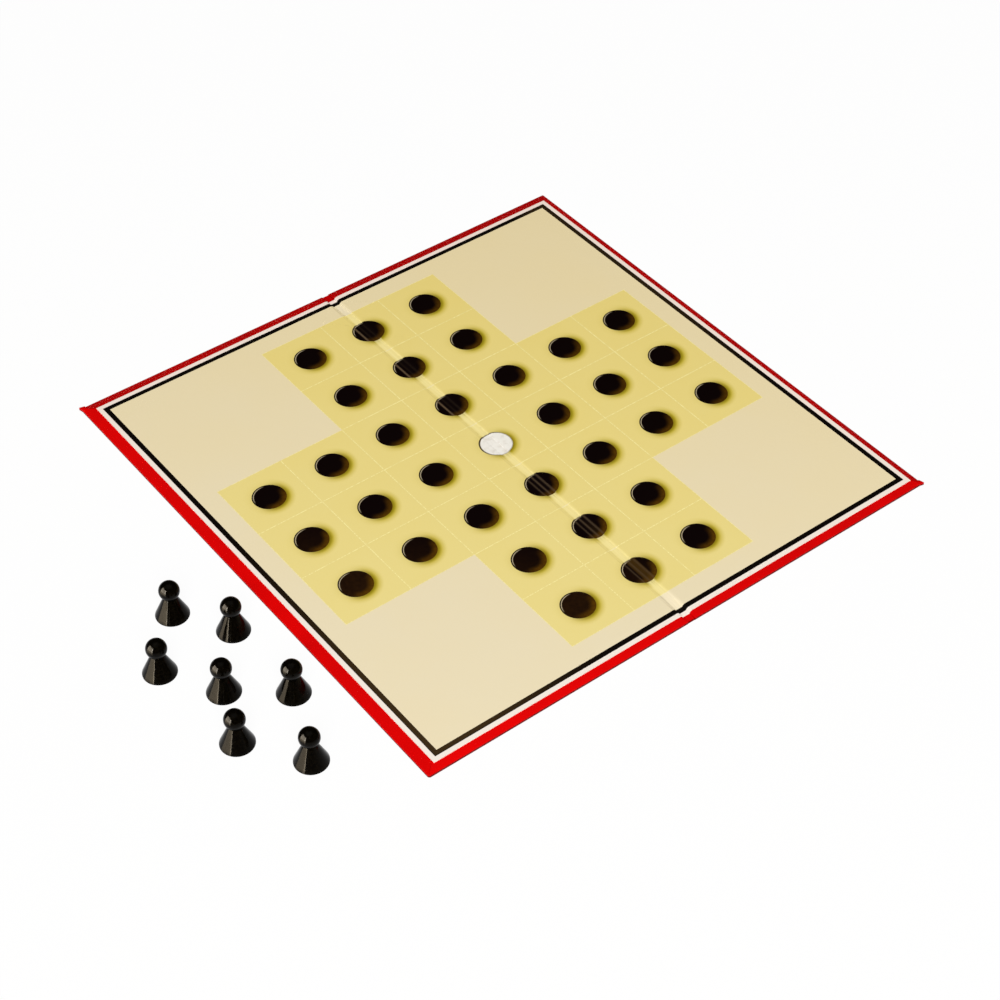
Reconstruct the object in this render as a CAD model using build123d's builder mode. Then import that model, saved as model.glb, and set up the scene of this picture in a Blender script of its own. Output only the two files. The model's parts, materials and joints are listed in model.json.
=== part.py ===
from build123d import *
import os

# A solitaire board that folds in half, lying open and flat, with seven loose pawns beside it.
# Millimetres. The origin is on the underside, in the middle of the board: the fold runs along Y,
# +X goes across it and +Z points up. The pawns stand on the -X side.
#
# Each half of the board is a grey board, wrapped from below in a red cover paper whose edges are
# turned in over the top, and faced with a printed sheet. Cover and sheet run on from one half to
# the other through a pressed groove, and this strip of paper is the hinge.

# Printed pattern
pitch = 33.5              # from the centre of one disc to the next
long_reach = 3            # discs from the middle one to the end of an arm
arm_reach = 1             # rows on each side of the middle row that run the full length
disc_d = 15.2
grid_line = 0.45          # line of bare field between two squares
field_margin = 9.8        # cream field from the end of an arm to the black line
frame_line = 2.1          # width of the black line
white_border = 2.5        # bare paper outside the black line
red_margin = 4.5          # cover paper that shows outside the sheet, on average
print_x = 0.6             # the middle of the sheet, off the middle of the board both ways,
print_y = -1.0            # as laying by hand leaves it

# Thicknesses
greyboard_t = 2.0
cover_t = 0.25
sheet_t = 0.3
ink_t = 0.1               # printed layer, part of the sheet's thickness

# Edges and fold
turn_in = 12.0            # cover paper folded over onto the top of the grey board
shoulder_r = 1.6          # round edge of the sheet where it runs down into the groove
rim_drop = 1.0            # the rim outside the sheet slopes down, by this much at the board's edge
board_edge_r = 0.3        # crushed edge of the grey board
board_corner_r = 0.8
mitre_gap = 0.15          # between two turned-in edges at a corner
tuck_out = 0.9            # folded tip of the cover paper, past two of the corners
tuck_root = 1.4           # half the tip's width, where it leaves the board's edges
tuck_rise = 0.4           # the tip stands this far above the rim's edge
step_slope = 0.6          # run of the sheet's step down from the strip's turned-in end
strip_end_r = 0.22        # outside of the fold where the strip of cover turns over
closed_air = 0.3          # air between the two faces when the board is folded shut

# Pawn
pawn_base_d = 14.7
pawn_foot_h = 0.3         # upright band round the foot
cone_top_d = 5.6
cone_h = 10.5
cone_edge_r = 0.15
ball_d = 9.0
seat_d = 5.0              # section of the ball where it rises out of the cone's flat top
gate_d = 1.6              # moulding mark on top of the ball
gate_depth = 0.2
gate_nub_d = 0.7
gate_nub_h = 0.15
hollow_wall = 1.3         # wall at the foot
hollow_top_d = 2.4
hollow_h = 8.6

# Where the pawns stand: distance from the board's left edge, and place along the fold
pawn_places = [(33.6, 0.3), (18.3, -23.2), (54.6, -24.3), (39.5, -49.3),
               (17.4, -67.1), (49.6, -75.2), (31.4, -100.7)]

# Worked out from these
field_half = (long_reach + 0.5) * pitch + field_margin
line_half = field_half + frame_line
sheet_half = line_half + white_border
board_half = sheet_half + red_margin
thickness = cover_t + greyboard_t + sheet_t
rim_top = thickness - sheet_t
strip_t = 2 * cover_t + sheet_t
groove = 2 * (thickness - strip_t) + closed_air
groove_half = groove / 2
turned_half = board_half - cover_t - turn_in
ball_r = ball_d / 2
ball_centre_h = cone_h + (ball_r ** 2 - (seat_d / 2) ** 2) ** 0.5
ball_top = ball_centre_h + ball_r
above = thickness + 1.0   # any height clear of the board, for cutting right through
same = 0.01               # two places closer than this are one
discs = [(i, j)
         for i in range(-long_reach, long_reach + 1)
         for j in range(-long_reach, long_reach + 1)
         if min(abs(i), abs(j)) <= arm_reach]


def leaf_section(side, depth, bottom, outer, middle_y=0):
    """Section across one half of the board, at y = middle_y, as seen looking along Y.

    It runs from the groove out to x = outer, and from z = bottom up to `depth` below the face
    of the sheet. The same depth holds on the groove's wall and on its round shoulder.
    """
    wall = groove_half + depth
    top = thickness - depth
    radius = shoulder_r - depth
    with BuildSketch(Plane.XZ.offset(-middle_y)) as section:
        with BuildLine():
            Polyline((side * wall, top - radius), (side * wall, bottom), (side * outer, bottom),
                     (side * outer, top), (side * (wall + radius), top))
            CenterArc((side * (wall + radius), top - radius), radius, 90, 90 * side)
        make_face()
    return section.sketch


def strip_section(depth, bottom_depth):
    """Section along the strip in the groove, in the YZ plane, between two depths of the sheet.

    The sheet lies on the strip of cover, and steps up onto the cover's turned-in ends.
    """
    low = cover_t + sheet_t - depth
    high = low + cover_t
    thick = bottom_depth - depth
    slope_end = turned_half - step_slope
    upper = [(print_y - sheet_half, high), (-turned_half, high), (-slope_end, low),
             (slope_end, low), (turned_half, high), (print_y + sheet_half, high)]
    lower = [(y, z - thick) for y, z in reversed(upper)]
    with BuildSketch(Plane.YZ) as section:
        with BuildLine():
            Polyline(*upper, *lower, close=True)
        make_face()
    return section.sketch


def plan_rectangle(half):
    """Upright block over a centred square of the print."""
    with BuildPart() as block:
        with BuildSketch():
            with Locations((print_x, print_y)):
                Rectangle(2 * half, 2 * half)
        extrude(amount=above)
    return block.part


def plan_discs(places):
    """Upright cylinders over some of the printed discs."""
    with BuildPart() as stamp:
        with BuildSketch():
            with Locations(*[(print_x + i * pitch, print_y + j * pitch) for i, j in places]):
                Circle(disc_d / 2)
        extrude(amount=above)
    return stamp.part


def plan_squares():
    """Upright blocks over the squares of the cross."""
    with BuildPart() as stamp:
        with BuildSketch():
            with Locations(*[(print_x + i * pitch, print_y + j * pitch) for i, j in discs]):
                Rectangle(pitch - grid_line, pitch - grid_line)
        extrude(amount=above)
    return stamp.part


line_plan = plan_rectangle(line_half)
field_plan = plan_rectangle(field_half)
square_plan = plan_squares()
all_discs_plan = plan_discs(discs)
black_discs_plan = plan_discs([place for place in discs if place != (0, 0)])
white_disc_plan = plan_discs([(0, 0)])


def leaf_layer(side, depth, bottom_depth):
    """Layer of the sheet on one half, between two depths: flat, round the shoulder and down."""
    outer = sheet_half + side * print_x
    with BuildPart() as layer:
        extrude(leaf_section(side, depth, cover_t, outer, print_y), amount=sheet_half, both=True)
        with BuildPart(mode=Mode.PRIVATE) as core:
            extrude(leaf_section(side, bottom_depth, cover_t, outer, print_y), amount=sheet_half, both=True)
        add(core.part, mode=Mode.SUBTRACT)
    return layer.part


def strip_layer(depth, bottom_depth):
    """Layer of the sheet in the groove, between two depths."""
    with BuildPart() as layer:
        extrude(strip_section(depth, bottom_depth), amount=groove_half, both=True)
    return layer.part


def print_pieces(name, paper, ink):
    """The white sheet and its four kinds of ink on one part of the board.

    paper is the sheet below the ink's depth, and ink the layer above it. Border and middle disc
    are left bare, so there the sheet itself comes up to the surface.
    """
    with BuildPart() as border:
        add(ink)
        add(line_plan, mode=Mode.SUBTRACT)
    with BuildPart() as bare_disc:
        add(ink)
        add(white_disc_plan, mode=Mode.INTERSECT)
    with BuildPart() as sheet:
        add(paper)
        add(border.part)
        add(bare_disc.part)
    with BuildPart() as black_line:
        add(ink)
        add(line_plan, mode=Mode.INTERSECT)
        add(field_plan, mode=Mode.SUBTRACT)
    with BuildPart() as field:
        add(ink)
        add(field_plan, mode=Mode.INTERSECT)
        add(square_plan, mode=Mode.SUBTRACT)
    with BuildPart() as squares:
        add(ink)
        add(square_plan, mode=Mode.INTERSECT)
        add(all_discs_plan, mode=Mode.SUBTRACT)
    with BuildPart() as spots:
        add(ink)
        add(black_discs_plan, mode=Mode.INTERSECT)
    return {name + "_sheet": sheet.part, name + "_frame_line": black_line.part,
            name + "_field": field.part, name + "_squares": squares.part,
            name + "_spots": spots.part}


def rim_section(plane, sheet_middle, inset):
    """Section through the whole board, edge to edge, `inset` below its skin.

    The rim slopes down from the sheet's edge, so its slope depends on where the sheet was laid.
    """
    with BuildSketch(plane) as section:
        with BuildLine():
            Polyline((-board_half, 0), (board_half, 0), (board_half, rim_top - rim_drop),
                     (sheet_middle + sheet_half, rim_top), (sheet_middle - sheet_half, rim_top),
                     (-board_half, rim_top - rim_drop), close=True)
        make_face()
        fillet(section.vertices().group_by(Axis.X)[0] + section.vertices().group_by(Axis.X)[-1],
               board_edge_r + cover_t)
        if inset:
            offset(amount=-inset, kind=Kind.INTERSECTION)
    return section.sketch


def pressed_block(inset):
    """The whole board as one block, `inset` below its skin: sloping rim, rounded corners."""
    half = board_half - inset
    with BuildPart() as block:
        extrude(rim_section(Plane.XZ, print_x, inset), amount=half, both=True)
        with BuildPart(mode=Mode.PRIVATE) as across:
            extrude(rim_section(Plane.YZ, print_y, inset), amount=half, both=True)
        add(across.part, mode=Mode.INTERSECT)
        with BuildSketch():
            RectangleRounded(2 * half, 2 * half, board_corner_r + cover_t - inset)
        extrude(amount=above, mode=Mode.INTERSECT)
    return block.part


def grey_board(side):
    """The stiff board of one half, with a shallow step pressed in where the cover is turned in."""
    outer = board_half - cover_t
    with BuildPart() as board:
        extrude(leaf_section(side, sheet_t + cover_t, cover_t, outer), amount=outer, both=True)
        add(pressed_block(cover_t), mode=Mode.INTERSECT)
        with BuildPart(mode=Mode.PRIVATE) as middle:
            extrude(leaf_section(side, sheet_t, cover_t, turned_half), amount=turned_half, both=True)
        add(middle.part)
    return board.part


def cover(side, board):
    """The red paper round one half: back, edges, and turned-in rim with mitred corners."""
    corner = board_half - cover_t
    with BuildPart() as wrap:
        extrude(leaf_section(side, sheet_t, 0, board_half), amount=board_half, both=True)
        with BuildSketch(Plane.XZ):
            with BuildLine():
                Polyline((side * groove_half, 0), (side * (groove_half + shoulder_r), 0),
                         (side * (groove_half + shoulder_r), cover_t), (side * groove_half, cover_t),
                         close=True)
            make_face()
        extrude(amount=board_half, both=True)
        add(pressed_block(0), mode=Mode.INTERSECT)
        add(board, mode=Mode.SUBTRACT)
        for end in (-1, 1):
            with BuildSketch(Plane.XY.offset(rim_top - cover_t - rim_drop)):
                with Locations((side * (corner - turn_in / 2), end * (corner - turn_in / 2))):
                    Rectangle(turn_in * 2 ** 0.5 + 2 * mitre_gap, mitre_gap, rotation=45 * side * end)
            extrude(amount=rim_drop + 2 * cover_t, mode=Mode.SUBTRACT)
        diagonal = Plane((side * board_half, -side * board_half), x_dir=(side, -side, 0))
        with BuildSketch(diagonal.offset(cover_t)):
            with BuildLine():
                Polyline((-2 * tuck_root, 0), (-tuck_root, tuck_root), (tuck_out, 0),
                         (-tuck_root, -tuck_root), close=True)
            make_face()
        extrude(amount=rim_top - rim_drop + tuck_rise - cover_t)
        add(board, mode=Mode.SUBTRACT)
    return wrap.part


def pawn(x, y):
    """Pawn moulded in one piece: hollow cone, and a solid ball with its moulding mark."""
    foot_r = pawn_base_d / 2
    top_r = cone_top_d / 2
    inside_r = foot_r - hollow_wall
    with BuildPart() as figure:
        with BuildSketch(Plane((x, y, 0), x_dir=(1, 0, 0), z_dir=(0, -1, 0))) as half:
            with BuildLine():
                Polyline((-foot_r, 0), (foot_r, 0), (foot_r, pawn_foot_h), (top_r, cone_h),
                         (-top_r, cone_h), (-foot_r, pawn_foot_h), close=True)
            make_face()
            fillet(half.vertices().filter_by(lambda v: abs(v.Y - cone_h) < same), cone_edge_r)
            with Locations((0, ball_centre_h)):
                Circle(ball_r)
            with Locations((0, ball_top)):
                Rectangle(gate_d, 2 * gate_depth, mode=Mode.SUBTRACT)
            with Locations((0, ball_top - gate_depth)):
                Rectangle(gate_nub_d, 2 * gate_nub_h)
            with BuildLine():
                Polyline((-inside_r, 0), (inside_r, 0), (hollow_top_d / 2, hollow_h),
                         (-hollow_top_d / 2, hollow_h), close=True)
            make_face(mode=Mode.SUBTRACT)
            with Locations((0, 0)):
                Rectangle(foot_r, ball_top, align=(Align.MIN, Align.MIN), mode=Mode.INTERSECT)
        revolve(axis=Axis((x, y, 0), (0, 0, 1)))
    return figure.part


leaves = {}
for name, side in (("left", -1), ("right", 1)):
    board = grey_board(side)
    leaves[name + "_panel"] = board
    leaves[name + "_cover"] = cover(side, board)
    leaves.update(print_pieces(name, leaf_layer(side, ink_t, sheet_t), leaf_layer(side, 0, ink_t)))

with BuildPart() as spine_cover:
    with BuildSketch():
        Rectangle(groove, 2 * board_half)
    extrude(amount=cover_t)
    with BuildSketch(Plane.XY.offset(cover_t)):
        with Locations((0, -(turned_half + board_half) / 2), (0, (turned_half + board_half) / 2)):
            Rectangle(groove, board_half - turned_half)
    extrude(amount=cover_t)
    ends = spine_cover.faces().sort_by(Axis.Y)
    fillet((ends[0].edges() + ends[-1].edges()).filter_by(Axis.X), radius=strip_end_r)
leaves["spine_cover"] = spine_cover.part
leaves.update(print_pieces("spine", strip_layer(ink_t, sheet_t), strip_layer(0, ink_t)))

pawns = {}
for number, (from_edge, y) in enumerate(pawn_places, start=1):
    pawns["pawn_%d" % number] = pawn(-board_half - from_edge, y)

os.makedirs("parts", exist_ok=True)
for name, piece in {**leaves, **pawns}.items():
    piece.label = name
    export_step(piece, "parts/" + name + ".step")
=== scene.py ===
# %% [markdown]
# # A folding solitaire board and seven pawns
#
# This lesson dresses a finished CAD model. The board is a wrapped grey board that folds in half,
# and each kind of ink on it is a solid of its own, so most of the work here is finishes and light.
# The frame is loaded first, and the size of the bare model is kept and printed.

# %% Load the frame
import json
import bpy
from math import atan, cos, degrees, pi, radians, sin
from mathutils import Matrix, Vector


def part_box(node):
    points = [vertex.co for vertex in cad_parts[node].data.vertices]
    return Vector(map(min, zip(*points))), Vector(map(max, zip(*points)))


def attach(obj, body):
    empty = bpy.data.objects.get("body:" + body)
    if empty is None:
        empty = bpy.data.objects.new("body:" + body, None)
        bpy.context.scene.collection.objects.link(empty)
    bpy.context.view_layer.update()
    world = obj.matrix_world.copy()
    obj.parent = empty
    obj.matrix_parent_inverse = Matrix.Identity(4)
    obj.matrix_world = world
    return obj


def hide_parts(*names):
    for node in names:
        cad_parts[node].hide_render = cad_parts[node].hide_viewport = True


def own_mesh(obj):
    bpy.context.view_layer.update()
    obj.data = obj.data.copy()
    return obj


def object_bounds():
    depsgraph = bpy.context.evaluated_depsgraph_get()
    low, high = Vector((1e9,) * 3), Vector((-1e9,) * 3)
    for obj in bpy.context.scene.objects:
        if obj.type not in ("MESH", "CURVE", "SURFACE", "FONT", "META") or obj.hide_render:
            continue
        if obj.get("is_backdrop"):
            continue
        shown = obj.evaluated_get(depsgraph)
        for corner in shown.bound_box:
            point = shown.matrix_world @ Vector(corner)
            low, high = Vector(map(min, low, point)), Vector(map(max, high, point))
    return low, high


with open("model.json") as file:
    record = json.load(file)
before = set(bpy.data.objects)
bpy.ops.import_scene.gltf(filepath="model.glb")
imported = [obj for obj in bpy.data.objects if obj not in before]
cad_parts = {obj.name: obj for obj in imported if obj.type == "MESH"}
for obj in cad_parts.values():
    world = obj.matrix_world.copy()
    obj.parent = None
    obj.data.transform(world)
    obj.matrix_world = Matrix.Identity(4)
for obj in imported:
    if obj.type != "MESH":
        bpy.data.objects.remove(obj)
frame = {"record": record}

cad_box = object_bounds()
mm = 0.001
print("CAD box in mm:", [[round(v / mm, 1) for v in corner] for corner in cad_box])

# %% [markdown]
# ## Sizes read from the model
#
# The print repeats: 33 discs on a square grid. Its pitch, its middle and the size of a disc can
# all be read from the boxes of the printed nodes, so the finishes below stay in register with the
# solids whatever the model's size is. The groove's width is the length of the strip across it.

# %% Read the print's grid and the fold
squares_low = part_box("left_squares")[0]
squares_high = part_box("right_squares")[1]
spots_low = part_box("left_spots")[0]
spots_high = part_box("right_spots")[1]
print_middle = (squares_low + squares_high) / 2
row_length = 7
grid_gap = 0.45 * mm
pitch = (squares_high.x - squares_low.x + grid_gap) / row_length
disc_radius = (spots_high.x - spots_low.x - (row_length - 1) * pitch) / 2
board_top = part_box("left_sheet")[1].z
board_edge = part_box("spine_cover")[1].y
groove_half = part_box("spine_cover")[1].x
line_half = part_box("right_frame_line")[1].x - print_middle.x
print("pitch", round(pitch / mm, 2), "disc radius", round(disc_radius / mm, 2),
      "board top", round(board_top / mm, 2), "groove half", round(groove_half / mm, 2),
      "frame line", round(line_half / mm, 2))

# %% [markdown]
# ## The camera
#
# The photograph looks down over the corner of the board from 43 degrees above the table, with a
# long lens. The grid of discs fixes the camera: 32 known points on a flat face are more than
# enough to solve for its place, its aim and its focal length.

# %% Place the camera
camera_from_print = Vector((-0.43887, -0.57463, 0.66622))
aim_from_print = Vector((-0.02099, -0.03016, 0))
camera_roll = radians(-0.05)
camera_lens = 78.02

print_centre = Vector((print_middle.x, print_middle.y, board_top))
camera_data = bpy.data.cameras.new("camera")
camera_data.lens = camera_lens
camera = bpy.data.objects.new("camera", camera_data)
bpy.context.scene.collection.objects.link(camera)
camera.location = print_centre + camera_from_print
view = (aim_from_print - camera_from_print).normalized()
aim = view.to_track_quat("-Z", "Y").to_matrix()
camera.rotation_euler = (aim @ Matrix.Rotation(camera_roll, 3, "Z")).to_euler()
bpy.context.scene.camera = camera
print("camera looks down at", round(degrees(atan(-view.z / view.xy.length)), 2), "degrees")

# %% [markdown]
# ## Sums on shader sockets
#
# A finish is a graph of nodes, but it is easier to read as arithmetic. `Signal` wraps one output
# socket. Plus, minus, times and the rest add a Math node each, and `node` adds any other kind.

# %% A socket that can be added, multiplied and compared
class Signal:
    """One output socket of a material's node tree."""

    def __init__(self, tree, socket):
        self.tree = tree
        self.socket = socket

    def node(self, kind, settings=None, inputs=None, output=0):
        """Adds a node of any kind. Settings come first, then the values or links of its sockets."""
        made = self.tree.nodes.new(kind)
        for name, value in (settings or {}).items():
            setattr(made, name, value)
        for key, value in (inputs or {}).items():
            socket = find_socket(made.inputs, key)
            if isinstance(value, Signal):
                self.tree.links.new(value.socket, socket)
            else:
                socket.default_value = value
        return Signal(self.tree, find_socket(made.outputs, output))

    def math(self, operation, *values):
        return self.node("ShaderNodeMath", {"operation": operation}, dict(enumerate(values)))

    def __add__(self, other):
        return self.math("ADD", self, other)

    def __sub__(self, other):
        return self.math("SUBTRACT", self, other)

    def __rsub__(self, other):
        return self.math("SUBTRACT", other, self)

    def __mul__(self, other):
        return self.math("MULTIPLY", self, other)

    def __truediv__(self, other):
        return self.math("DIVIDE", self, other)

    def __pow__(self, other):
        return self.math("POWER", self, other)

    __radd__ = __add__
    __rmul__ = __mul__

    def __abs__(self):
        return self.math("ABSOLUTE", self)

    def __round__(self):
        return self.math("ROUND", self)

    def larger(self, other):
        return self.math("MAXIMUM", self, other)

    def smaller(self, other):
        return self.math("MINIMUM", self, other)

    def rise(self, start, end):
        """0 up to start, 1 from end, and a smooth rise between them. start may be above end."""
        low, high = (start, end) if start < end else (end, start)
        step = self.node("ShaderNodeMapRange", {"interpolation_type": "SMOOTHSTEP"},
                         {"Value": self, "From Min": low, "From Max": high})
        return step if start < end else 1 - step

    def length_with(self, other):
        """Length of the flat vector whose two parts are this and other."""
        return (self * self + other * other) ** 0.5

    def parts(self):
        """The x, y and z of a vector."""
        return [self.node("ShaderNodeSeparateXYZ", None, {0: self}, axis) for axis in range(3)]

    def noise(self, size, detail=2.0, stretch=(1, 1, 1)):
        """Cloudy noise from 0 to 1 whose blots are about `size` wide, here a place in space."""
        scaled = self.node("ShaderNodeVectorMath", {"operation": "MULTIPLY"}, {0: self, 1: stretch})
        return self.node("ShaderNodeTexNoise", None,
                         {"Vector": scaled, "Scale": 1 / size, "Detail": detail}, "Fac")

    def tint(self, below, above):
        """A colour that goes from `below` where this is 0 to `above` where it is 1."""
        return self.node("ShaderNodeMix", {"data_type": "RGBA", "clamp_factor": True},
                         {"Factor_Float": self, "A_Color": below, "B_Color": above}, "Result_Color")


def find_socket(sockets, key):
    """A socket by its number, its identifier or its name. An end node has none to give."""
    if not sockets:
        return None
    if isinstance(key, int):
        return sockets[key]
    matches = [s for s in sockets if s.identifier == key] or [s for s in sockets if s.name == key]
    return matches[0]


print("Signal is ready")

# %% [markdown]
# Every finish starts the same way: a Principled shader whose plain numbers are set on its own
# sockets, and the place on the object as the signal to work from. The CAD nodes sit at the
# origin, so that place is in metres in the model's own frame, and it folds with the board.

# %% Start a finish
def rgb(red, green, blue):
    """A screen colour from 0 to 255, as the linear colour that a shader wants."""
    def linear(level):
        level = level / 255
        return level / 12.92 if level <= 0.04045 else ((level + 0.055) / 1.055) ** 2.4
    return (linear(red), linear(green), linear(blue), 1)


def new_finish(name, **numbers):
    """A material, and the signals that a finish is built from."""
    material = bpy.data.materials.new(name)
    material.use_nodes = True
    shader = material.node_tree.nodes["Principled BSDF"]
    for socket, value in numbers.items():
        shader.inputs[socket.replace("_", " ")].default_value = value
    start = Signal(material.node_tree, None)
    place = start.node("ShaderNodeTexCoord", None, None, "Object")
    return material, shader, place


def connect(shader, name, signal):
    signal.tree.links.new(signal.socket, shader.inputs[name])


def leaned_normal(place, toward, share):
    """The surface's normal, leaned by `share` toward a direction in the object's own space."""
    in_world = place.node(
        "ShaderNodeVectorTransform",
        {"vector_type": "NORMAL", "convert_from": "OBJECT", "convert_to": "WORLD"}, {0: toward})
    own = place.node("ShaderNodeNewGeometry", None, None, "Normal")
    leaned = place.node(
        "ShaderNodeMix", {"data_type": "VECTOR"},
        {"Factor_Float": share, "A_Vector": own, "B_Vector": in_world}, "Result_Vector")
    return place.node("ShaderNodeVectorMath", {"operation": "NORMALIZE"}, {0: leaned})


def bump(shader, height, distance, normal=None):
    """Raises the surface by `height`, a signal from 0 to 1, times `distance`."""
    inputs = {"Height": height, "Distance": distance, "Strength": 1.0}
    if normal:
        inputs["Normal"] = normal
    relief = height.node("ShaderNodeBump", None, inputs, "Normal")
    connect(shader, "Normal", relief)


print("red of the cover paper as a linear colour:", [round(v, 3) for v in rgb(226, 6, 4)])

# %% [markdown]
# ## The film over the print
#
# The sheet is printed and then laminated with a clear film. All inks share that skin: a faint
# waviness from the board below, and a satin gloss. Over the fold the paper is soft, so its shading
# is gentler than that of the solid's sides: the shading normal is leaned back to straight up. The
# normal of a flat sheet is first turned from the object's space to the world's, so it folds with
# the board.

# %% The skin that every ink shares
film_roughness = 0.34
film_wave = 9 * mm
film_grain = 0.35 * mm
film_relief = 0.06 * mm
wrinkle_pitch = 0.55 * mm
fold_reach = groove_half + 2.6 * mm
fold_softness = 0.6


def film(shader, place):
    """Gives a printed surface its laminated skin."""
    x, y, z = place.parts()
    wave = place.noise(film_wave, 1.0)
    grain = place.noise(film_grain, 2.0)
    near_fold = abs(x).rise(fold_reach, groove_half)
    wrinkle = place.noise(wrinkle_pitch, 1.0, (1, 0.02, 1)) * near_fold
    gentler = leaned_normal(place, (0, 0, 1), near_fold * fold_softness)
    bump(shader, wave * 0.35 + grain * 0.04 + wrinkle * 0.4, film_relief, gentler)
    connect(shader, "Roughness", film_roughness + (grain - 0.5) * 0.08 + near_fold * 0.1)


# %% [markdown]
# The fold itself shows as a pale band: partly film and ink whitened by stretch, and partly painted
# sheen. Beside it is a fine dark crease of painted shade. The band lies a little to the side of the
# middle. On the black discs the film also shows where it has bent: as three fine painted
# highlights, light lines each stronger toward one end of the fold.

# %% Pale band, painted sheen and painted shade along the fold
pale_from = -1.7 * mm
pale_to = 2.5 * mm
band_wander = 0.8 * mm
crease_place = -3.1 * mm
crease_reach = 0.35 * mm
line_reach = 0.8 * mm
line_slant = -0.007
# each painted highlight's place across the fold, its strength at the near end, and at the far end
bend_highlight_lines = ((-3.05 * mm, 0.36, 0.95), (-0.4 * mm, 0.48, 0.06), (2.15 * mm, 0.42, 0.06))


def fold_sheen_and_shade(place):
    """How pale the film is at a place, by stretch whitening and painted sheen, and how dark the
    painted shade in its crease is.
    """
    x, y, z = place.parts()
    across = x + (place.noise(22 * mm, 2.0) - 0.5) * band_wander
    streak = place.noise(0.5 * mm, 2.0, (1, 0.03, 1)).rise(0.25, 0.75)
    pale = (across.rise(pale_from - 0.3 * mm, pale_from + 1.1 * mm)
            * across.rise(pale_to + 0.4 * mm, pale_to - 0.9 * mm))
    crease = abs(across - crease_place).rise(crease_reach, 0.1 * mm) * streak
    return pale * (0.55 + streak * 0.45), crease


def bend_highlights(place):
    """Painted highlights: fine light lines where the film bends, which run almost along the fold.
    """
    x, y, z = place.parts()
    near = y.rise(35 * mm, -35 * mm)

    def line(middle, near_strength, far_strength):
        strength = near * (near_strength - far_strength) + far_strength
        return abs(x - y * line_slant - middle).rise(line_reach, 0.1 * mm) * strength

    return sum(line(*bend_highlight) for bend_highlight in bend_highlight_lines)


def disc_place(place):
    """Distances along x and y from the centre of the nearest disc, as shares of its radius."""
    x, y, z = place.parts()
    across = (x - print_middle.x) / pitch
    along = (y - print_middle.y) / pitch
    dx = (across - round(across)) * (pitch / disc_radius)
    dy = (along - round(along)) * (pitch / disc_radius)
    return dx, dy


def toward(dx, dy, angle):
    """How far a place lies in the direction of `angle`, in degrees from +x toward +y."""
    return dx * cos(radians(angle)) + dy * sin(radians(angle))


print("film roughness", film_roughness)

# %% [markdown]
# ## The inks
#
# The print imitates draughts lying on the board, lit from the upper left. Each black disc has a
# thin light arc just inside its lit edge, turns brown at the far side, and throws an olive shadow
# on the yellow square. Two signals describe a place by a disc: how far out it lies, as a share of
# the radius, and how much of that is toward the painted light.

# %% Cream field and yellow squares
film_index = 1.3
black = rgb(7, 0, 0)
cream = rgb(234, 222, 190)
cream_warm = rgb(236, 219, 172)
whitened_sheen_cream = rgb(247, 235, 203)
grid_yellow = rgb(250, 238, 166)
yellow = rgb(235, 219, 144)
yellow_warm = rgb(235, 214, 127)
whitened_sheen_yellow = rgb(250, 236, 168)
crease_shade_colour = rgb(150, 128, 62)
deep_yellow = rgb(194, 174, 34)
edge_shade = rgb(76, 58, 16)
painted_light = 135
arm_reach = row_length / 2 * pitch
arm_half_width = 1.5 * pitch


def toward_far_corner(place):
    """0 at the corner nearest the photograph's camera, 1 at the far one."""
    x, y, z = place.parts()
    return ((x + y) / (2 * board_edge)).rise(-1.0, 1.0)


def ink_with_fold_sheen_and_shade(place, ink, pale_and_sheen, crease_strength):
    """An ink that pales over the fold, by stretch whitening and painted sheen, with painted shade
    in its crease.
    """
    pale, crease = fold_sheen_and_shade(place)
    return (crease * crease_strength).tint((pale * 0.75).tint(ink, pale_and_sheen), crease_shade_colour)


def inside_cross(place):
    """1 inside the cross of squares, where the cream field only shows as lines between them."""
    x, y, z = place.parts()
    across = abs(x - print_middle.x)
    along = abs(y - print_middle.y)
    return (across.larger(along).rise(arm_reach + 0.3 * mm, arm_reach - 0.2 * mm)
            * across.smaller(along).rise(arm_half_width + 0.3 * mm, arm_half_width - 0.2 * mm))


def cream_field():
    material, shader, place = new_finish("cream ink under film", IOR=film_index)
    mottle = place.noise(45 * mm, 3.0) * 0.7 + place.noise(1.2 * mm, 2.0) * 0.3
    warmth = toward_far_corner(place) * 0.8 + mottle.rise(0.3, 0.7) * 0.2
    broken = place.noise(0.8 * mm, 1.0).rise(0.4, 0.6)
    ink = inside_cross(place).tint(warmth.tint(cream, cream_warm), broken.tint(yellow, grid_yellow))
    connect(shader, "Base Color", ink_with_fold_sheen_and_shade(place, ink, whitened_sheen_cream, 0.35))
    film(shader, place)
    return material


def yellow_squares():
    material, shader, place = new_finish("yellow ink under film", IOR=film_index)
    mottle = place.noise(30 * mm, 3.0) * 0.6 + place.noise(0.9 * mm, 2.0) * 0.4
    warmth = toward_far_corner(place) * 0.75 + mottle.rise(0.3, 0.7) * 0.25
    dx, dy = disc_place(place)
    out = dx.length_with(dy)
    lit = toward(dx, dy, painted_light) / out
    shaded = lit.rise(0.6, -0.95) * 0.9 + 0.1
    paint = (out.rise(1.62, 1.05) * shaded).tint(warmth.tint(yellow, yellow_warm), deep_yellow)
    paint = (out.rise(1.3, 0.98) * shaded * 0.6).tint(paint, edge_shade)
    paint = (out - lit * 0.03).rise(1.035, 1.005).tint(paint, black)
    connect(shader, "Base Color", ink_with_fold_sheen_and_shade(place, paint, whitened_sheen_yellow, 0.2))
    film(shader, place)
    return material


cream_finish = cream_field()
yellow_finish = yellow_squares()
print("made", cream_finish.name, "and", yellow_finish.name)

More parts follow.
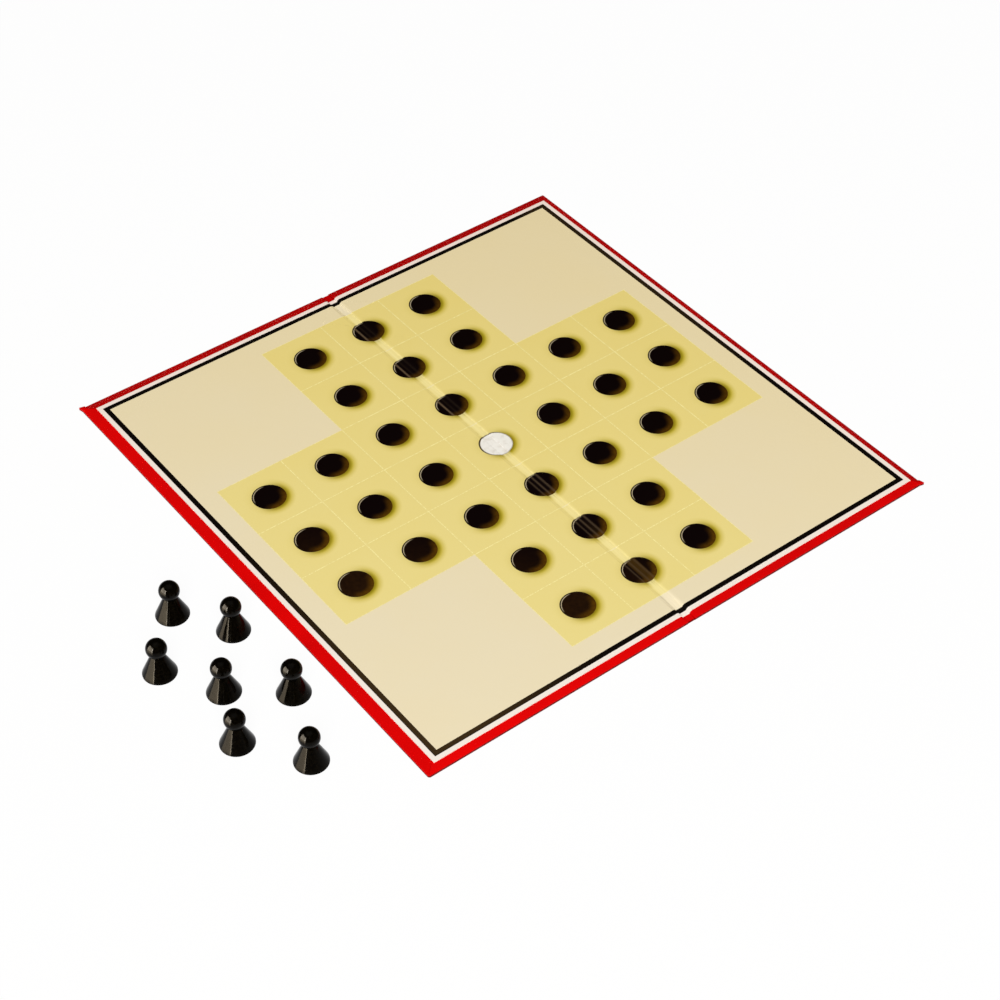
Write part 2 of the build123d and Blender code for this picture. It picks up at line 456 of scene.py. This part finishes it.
# %% Black discs, black line and bare white paper
near_black = rgb(36, 18, 3)
brown = rgb(82, 52, 2)
arc_light = rgb(206, 190, 156)
bend_highlight_colour = rgb(92, 75, 56)
whitened_sheen_brown = rgb(82, 57, 15)
white = rgb(243, 234, 224)
white_warm = rgb(246, 230, 218)
disc_white = rgb(243, 240, 232)
disc_grey = rgb(226, 220, 210)
outline_brown = rgb(116, 103, 82)
line_black = rgb(8, 4, 2)
line_brown = rgb(60, 44, 22)
extra_line = 0.32 * mm
arc_side = 128
brown_side = -60
sheen_band_from = -1.3 * mm
sheen_band_to = 3.9 * mm


def black_discs():
    material, shader, place = new_finish("black disc ink under film", IOR=film_index)
    dx, dy = disc_place(place)
    out = dx.length_with(dy)
    far = toward_far_corner(place)
    lower = out.rise(0.5, 0.94) * (toward(dx, dy, brown_side) / out).rise(0.05, 0.95)
    lower = lower * (1.1 - far * 0.35)
    arc = out.rise(0.905, 0.935) * out.rise(0.985, 0.96)
    arc = arc * (toward(dx, dy, arc_side) / out).rise(0.6, 0.92)
    x, y, z = place.parts()
    # painted sheen with some stretch whitening: the fold's pale band on the discs near the front
    # end
    painted_tone = (x.rise(sheen_band_from, sheen_band_from + 0.8 * mm) * x.rise(sheen_band_to, sheen_band_to - 0.8 * mm)
              * y.rise(-60 * mm, -95 * mm))
    mottle = place.noise(1.6 * mm, 3.0).rise(0.3, 0.7)
    base = (far.rise(0.3, 0.12) * (0.6 + mottle * 0.4)).tint(black, near_black)
    paint = (lower * (0.7 + mottle * 0.3)).tint(base, brown)
    paint = (arc * 0.68).tint(paint, arc_light)
    paint = (painted_tone * 0.45).tint(paint, whitened_sheen_brown)
    # painted highlights along the bends of the film
    bend_highlight = bend_highlights(place) * (1 - painted_tone * 0.4)
    connect(shader, "Base Color", bend_highlight.tint(paint, bend_highlight_colour))
    film(shader, place)
    return material


def black_line():
    material, shader, place = new_finish("black line ink under film", IOR=film_index)
    x, y, z = place.parts()
    speck = place.noise(0.6 * mm, 2.0).rise(0.35, 0.7)
    # browner toward the near corner and toward the right edge
    near = (x * 1.7 + y).rise(-1.4 * board_edge, -2.4 * board_edge)
    right = (x.rise(0.8 * board_edge, 0.9 * board_edge)
             * y.rise(-0.4 * board_edge, 0.3 * board_edge))
    browner = (near + right * 0.5) * (0.8 + speck * 0.2)
    connect(shader, "Base Color", browner.tint(line_black, line_brown))
    film(shader, place)
    return material


def bare_paper():
    """White border with the last of the black line on it, and the white disc in the middle."""
    material, shader, place = new_finish("white paper under film", IOR=film_index)
    x, y, z = place.parts()
    dx = x - print_middle.x
    dy = y - print_middle.y
    away = dx.length_with(dy) / disc_radius
    lean = (dx - dy) / (disc_radius * 2 ** 0.5)
    inside = away.rise(1.3, 1.1)
    outline = away.rise(0.93, 0.965) * inside * (0.5 + lean.rise(0.4, -0.9) * 0.5)
    cloud = place.noise(2.6 * mm, 3.0).rise(0.45, 0.8)
    edge = abs(dx).larger(abs(dy))
    border = toward_far_corner(place).tint(white, white_warm)
    paper = inside.tint(border, cloud.tint(disc_white, disc_grey))
    line_end = line_half + extra_line
    line = (edge.rise(line_half - 1 * mm, line_half - 0.5 * mm)
            * edge.rise(line_end + 0.1 * mm, line_end - 0.1 * mm))
    connect(shader, "Base Color", line.tint(outline.tint(paper, outline_brown), black))
    film(shader, place)
    return material


disc_finish = black_discs()
line_finish = black_line()
paper_finish = bare_paper()
print("made", disc_finish.name + ",", line_finish.name, "and", paper_finish.name)

# %% [markdown]
# ## The cover paper and the board inside it
#
# The cover is a strong red paper with a matt varnish, so it keeps its colour from every side. It
# is padded by the glue below it, so the rims look rounder than they are: the shading normal leans
# outward there. Its colour is darker toward +x, a painted shade for the rims that face away from
# the light. Its lower edge is darkened by painted shade under the board, most of all along the
# front side. The grey board is pressed waste paper with flecks. It only shows through the fine
# slits where the paper is mitred at the corners, and there the red dye has run into it.

# %% Red paper and grey board
red = rgb(212, 2, 2)
red_deep = rgb(186, 2, 3)
edge_shade_red = rgb(84, 3, 3)
pulp_dark = rgb(150, 145, 134)
pulp_pale = rgb(178, 172, 160)
fleck_grey = rgb(88, 82, 74)
rim_width = board_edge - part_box("left_sheet")[1].y
rim_roundness = 0.17
dye_reach = 7 * mm


def edge_distance(place):
    """How far in from the board's outer edge a place lies, in metres."""
    x, y, z = place.parts()
    return board_edge - abs(x).larger(abs(y))


def outward(place):
    """The direction away from the board across the nearest side."""
    x, y, z = place.parts()
    by_x = x.math("GREATER_THAN", abs(x), abs(y))
    return place.node("ShaderNodeCombineXYZ", None,
                      {"X": x.math("SIGN", x) * by_x, "Y": y.math("SIGN", y) * (1 - by_x)})


def red_cover():
    material, shader, place = new_finish("red cover paper", IOR=1.45, Specular_IOR_Level=0.1)
    x, y, z = place.parts()
    fibre = place.noise(0.5 * mm, 4.0)
    cloud = place.noise(14 * mm, 2.0)
    mottle = (fibre * 0.5 + cloud * 0.5).rise(0.32, 0.68)
    # darker toward +x: painted shade for the rims turned away from the light
    paint = (mottle * 0.5 + x.rise(board_edge, -board_edge) * 0.5).tint(red_deep, red)
    # painted shade under the board's edge, strongest along the front side
    front_side = y.rise(0.6 * mm - board_edge, 0.3 * mm - board_edge)
    low = front_side * z.rise(1.3 * mm, 0.7 * mm) + (1 - front_side) * z.rise(0.8 * mm, 0.3 * mm)
    painted_tone = low * edge_distance(place).rise(0.6 * mm, 0.3 * mm)
    connect(shader, "Base Color", (painted_tone * 0.9).tint(paint, edge_shade_red))
    connect(shader, "Roughness", 0.6 + (fibre - 0.5) * 0.2)
    on_rim = z.rise(0.3 * mm, 0.9 * mm) * edge_distance(place).rise(rim_width + 0.5 * mm, rim_width)
    rounder = leaned_normal(place, outward(place), on_rim * rim_roundness)
    bump(shader, fibre * 0.6 + cloud, 0.04 * mm, rounder)
    return material


def grey_board():
    material, shader, place = new_finish("grey board", IOR=1.4)
    pulp = place.noise(1.5 * mm, 5.0)
    fleck = place.noise(0.4 * mm, 1.0).rise(0.66, 0.72)
    paint = (fleck * 0.5).tint(pulp.rise(0.3, 0.7).tint(pulp_dark, pulp_pale), fleck_grey)
    dyed = edge_distance(place).rise(dye_reach, dye_reach - 0.5 * mm)
    connect(shader, "Base Color", dyed.tint(paint, red_deep))
    connect(shader, "Roughness", 0.9 + (pulp - 0.5) * 0.1)
    bump(shader, pulp, 0.08 * mm)
    return material


red_finish = red_cover()
board_finish = grey_board()
print("made", red_finish.name, "and", board_finish.name)

# %% [markdown]
# ## Pawn plastic
#
# The pawns are moulded polystyrene, black all through. What shows is almost only reflection: the
# skin is polished, with a faint orange peel from the mould and a few dull handling marks.

# %% Black moulded plastic
plastic_black = rgb(3, 2, 1)
plastic_scuffed = rgb(10, 7, 3)


def pawn_plastic():
    material, shader, place = new_finish("black moulded plastic", IOR=1.15)
    scuff = place.noise(1.1 * mm, 4.0)
    connect(shader, "Base Color", scuff.rise(0.3, 0.8).tint(plastic_black, plastic_scuffed))
    connect(shader, "Roughness", 0.1 + scuff.rise(0.45, 0.8) * 0.12)
    bump(shader, place.noise(2.2 * mm, 1.0), 0.006 * mm)
    return material


plastic_finish = pawn_plastic()
print("made", plastic_finish.name)

# %% [markdown]
# ## A shallower fold
#
# In the model the paper goes down to the bottom of the groove, as it must to close. In the
# photograph it has sprung back up and only dips a little, more so at the ends of the fold. So each
# layer that crosses the fold is stood for by a copy, in which every point below the face is lifted
# to a share of its old depth. Outside the sheet the face is the rim, which slopes down to the
# board's edge, and there the cover also closes up to the strip.

# %% Make the softer copies
middle_depth = 0.2
end_depth = 0.75
lowest_moved = 0.4 * mm
sheet_thickness = 0.3 * mm
cover_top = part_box("left_cover")[1].z
rim_drop = 1.0 * mm
closing_reach = 1.6 * mm
closing_run = 1.3 * mm
sheet_low, sheet_high = [corner.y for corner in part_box("left_sheet")]
layer_names = ("cover", "sheet", "field", "squares", "spots", "frame_line")
leaf_bodies = {"left": "left_leaf", "spine": "spine", "right": "right_leaf"}


def past_sheet(y):
    """How far a place lies past the end of the sheet, as a share of the rim's width."""
    if y < 0:
        return max(0, (sheet_low - y) / (sheet_low + board_edge))
    return max(0, (y - sheet_high) / (board_edge - sheet_high))


def depth_share(y):
    """The share of the groove's depth that is left at a place along the fold."""
    share = (abs(y - print_middle.y) - arm_reach) / (line_half - arm_reach)
    return middle_depth + (end_depth - middle_depth) * min(max(share, 0), 1)


def soften(point, kind):
    """Lifts one point of a layer toward the open board's face."""
    past = past_sheet(point.y) if kind == "cover" else 0
    face = cover_top - rim_drop * past if kind == "cover" else board_top
    point.z = face - depth_share(point.y) * (face - point.z)
    wall = abs(point.x) - groove_half
    if past > 0 and 0 < wall < closing_reach:
        closed = wall - sheet_thickness * min((closing_reach - wall) / closing_run, 1)
        point.x *= (groove_half + max(closed, 0)) / abs(point.x)


def softened(node, leaf, kind, slot):
    """A copy of a CAD node with a shallower groove, which stands for it."""
    mesh = node.data.copy()
    for point in mesh.vertices:
        if abs(point.co.x) < fold_reach and point.co.z > lowest_moved:
            soften(point.co, kind)
    piece = bpy.data.objects.new(leaf + "_" + kind + "_soft", mesh)
    bpy.context.scene.collection.objects.link(piece)
    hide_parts(node.name)
    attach(piece, leaf_bodies[leaf])
    if leaf == "spine":
        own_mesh(piece)
    return piece


shown = []
for part in frame["record"]["subparts"]:
    name = part["node"]
    leaf, kind = name.split("_", 1)
    piece = bpy.data.objects[name]
    if kind in layer_names:
        piece = softened(piece, leaf, kind, part["material_slot"])
    shown.append(piece)
print("pieces:", [piece.name for piece in shown])

# %% [markdown]
# ## Dressing the pieces
#
# The material goes into each piece's own slot. The meshes come in with flat facets, so a small
# Geometry Nodes modifier welds them and shades the gentle edges smooth. The Weighted Normal
# modifier after it keeps the big flat faces flat.

# %% Give each piece its finish
finish_of = {"panel": board_finish, "cover": red_finish, "sheet": paper_finish,
             "field": cream_finish, "squares": yellow_finish, "spots": disc_finish,
             "frame_line": line_finish}
gentle_angle = 42


def smoothing_group(limit):
    """Geometry nodes that weld a mesh and smooth the edges that bend less than `limit` degrees."""
    group = bpy.data.node_groups.new("smooth below %d degrees" % limit, "GeometryNodeTree")
    group.interface.new_socket("Geometry", in_out="INPUT", socket_type="NodeSocketGeometry")
    group.interface.new_socket("Geometry", in_out="OUTPUT", socket_type="NodeSocketGeometry")
    start = group.nodes.new("NodeGroupInput")
    weld = group.nodes.new("GeometryNodeMergeByDistance")
    weld.inputs["Distance"].default_value = 0.001 * mm
    faces = group.nodes.new("GeometryNodeSetShadeSmooth")
    edges = group.nodes.new("GeometryNodeSetShadeSmooth")
    edges.domain = "EDGE"
    angle = group.nodes.new("GeometryNodeInputMeshEdgeAngle")
    gentle = group.nodes.new("FunctionNodeCompare")
    gentle.operation = "LESS_THAN"
    gentle.inputs["B"].default_value = radians(limit)
    end = group.nodes.new("NodeGroupOutput")
    for source, target in ((start.outputs[0], weld.inputs["Geometry"]),
                           (weld.outputs["Geometry"], faces.inputs["Geometry"]),
                           (faces.outputs["Geometry"], edges.inputs["Geometry"]),
                           (angle.outputs["Unsigned Angle"], gentle.inputs["A"]),
                           (gentle.outputs["Result"], edges.inputs["Shade Smooth"]),
                           (edges.outputs["Geometry"], end.inputs[0])):
        group.links.new(source, target)
    return group


gentle_bends = smoothing_group(gentle_angle)
for piece in shown:
    kind = piece.name.split("_", 1)[1].removesuffix("_soft")
    piece.data.materials.clear()
    piece.data.materials.append(finish_of.get(kind, plastic_finish))
    piece.modifiers.new("smooth", "NODES").node_group = gentle_bends
    weighted = piece.modifiers.new("flat faces stay flat", "WEIGHTED_NORMAL")
    weighted.keep_sharp = True
print("dressed", len(shown), "pieces")

# %% [markdown]
# ## Floor and light
#
# The floor is white paper under a clear gloss. Seen by the camera, or mirrored in the plastic,
# most of it glows at a strength of 1, which is exactly white. A share stays plain diffuse paper,
# so it keeps the soft shadow under the board and the pawns. Seen at a glancing angle, as in the
# flanks of the pawns, the gloss takes over and mirrors the lamps and the dark studio.

# %% A white floor that keeps its shadow
glow_share = 0.94
gloss_colour = (0.78, 0.74, 0.66, 1)
gloss_roughness = 0.12
floor_reach = 40.0
floor_sides = 64


def white_floor():
    material = bpy.data.materials.new("white floor")
    material.use_nodes = True
    tree = material.node_tree
    tree.nodes.clear()
    start = Signal(tree, None)
    paper = start.node("ShaderNodeBsdfDiffuse", None, {"Color": (0.9, 0.9, 0.9, 1)})
    glow = start.node("ShaderNodeEmission", None, {"Color": (1, 1, 1, 1), "Strength": 1.0})
    by_camera, in_gloss, through_glass = [
        start.node("ShaderNodeLightPath", None, None, ray)
        for ray in ("Is Camera Ray", "Is Glossy Ray", "Is Transmission Ray")]
    seen = by_camera + in_gloss + through_glass
    share = seen.smaller(1) * glow_share
    lit = start.node("ShaderNodeMixShader", None, {"Fac": share, 1: paper, 2: glow})
    gloss = start.node("ShaderNodeBsdfAnisotropic", None,
                       {"Color": gloss_colour, "Roughness": gloss_roughness})
    glancing = start.node("ShaderNodeLayerWeight", None, {"Blend": 0.5}, "Facing") ** 5
    mixed = start.node("ShaderNodeMixShader", None, {"Fac": glancing * in_gloss, 1: lit, 2: gloss})
    start.node("ShaderNodeOutputMaterial", None, {"Surface": mixed})
    return material


floor_mesh = bpy.data.meshes.new("floor")
turns = [2 * pi * n / floor_sides for n in range(floor_sides)]
floor_mesh.from_pydata([(floor_reach * cos(turn), floor_reach * sin(turn), 0) for turn in turns],
                       [], [list(range(floor_sides))])
floor_mesh.materials.append(white_floor())
floor = bpy.data.objects.new("floor", floor_mesh)
bpy.context.scene.collection.objects.link(floor)
floor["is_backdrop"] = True
print("floor reaches", floor_reach, "m")

# %% [markdown]
# A far softbox behind the camera lights the edges that face us, so the rims that slope away stay
# darker. Another stands at the left and is only seen in gloss: it draws the patch on the heads
# and, by way of the glossy floor, the light third of the cones. Its brighter edge is a lamp of its
# own. Both are flagged off the board, as a photographer would do to keep glare out of the film:
# light linking lets them reach the pawns and the floor alone. The world is dark round the horizon
# and grey overhead, so black ink and black plastic stay black.

# %% Lamps and world
pawn_middle = (-0.17, -0.04, 0.1)


def softbox(name, place, aim, size, power, colour, diffuse=True, glossy=True, only=None):
    """A rectangular area lamp at `place` that faces `aim` and reaches `only` some pieces."""
    data = bpy.data.lights.new(name, "AREA")
    data.shape = "RECTANGLE"
    data.size, data.size_y = size
    data.energy = power
    data.color = colour
    lamp = bpy.data.objects.new(name, data)
    lamp.location = place
    lamp.rotation_euler = (Vector(aim) - Vector(place)).to_track_quat("-Z", "Y").to_euler()
    lamp.visible_diffuse = diffuse
    lamp.visible_glossy = glossy
    if only:
        lamp.light_linking.receiver_collection = only
    bpy.context.scene.collection.objects.link(lamp)
    return lamp


reached = bpy.data.collections.new("reached by the left softbox")
reached.objects.link(floor)
for piece in shown:
    if piece.name.startswith("pawn"):
        reached.objects.link(piece)

lamps = [
    softbox("front softbox", (-1.65, -2.42, 2.75), (0, 0, 0), (2.4, 2.4), 212.0,
            (1.0, 0.985, 0.96), glossy=False),
    softbox("left softbox", (-1.05, 0.13, 0.36), pawn_middle, (1.0, 0.7), 70.0,
            (1.0, 0.87, 0.68), diffuse=False, only=reached),
    softbox("softbox edge", (-1.13, -0.35, 0.36), pawn_middle, (0.07, 0.7), 16.0,
            (1.0, 0.9, 0.74), diffuse=False, only=reached)]


def studio_world():
    """Dark round the horizon, soft grey overhead."""
    made = bpy.data.worlds.new("studio")
    made.use_nodes = True
    background = made.node_tree.nodes["Background"]
    direction = Signal(made.node_tree, None).node("ShaderNodeTexCoord", None, None, "Generated")
    height = direction.parts()[2]
    level = height.rise(0.75, 1.0) * 0.6 + 0.02
    level.tree.links.new(level.socket, background.inputs["Strength"])
    background.inputs["Color"].default_value = (1.0, 0.97, 0.93, 1)
    return made


bpy.context.scene.world = studio_world()
bpy.context.scene.view_settings.view_transform = "Standard"
print("lamps:", [lamp.name for lamp in lamps])

# %% [markdown]
# ## The dressed size
#
# The dressed model must be as large as the bare one, so its box is printed, to set beside the
# bare box printed at the start.

# %% Print the dressed box and finish
({"cad": [list(corner) for corner in cad_box],
           "visual": [list(corner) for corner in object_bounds()]})
print("visual box in mm:", [[round(v / mm, 1) for v in corner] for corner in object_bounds()])
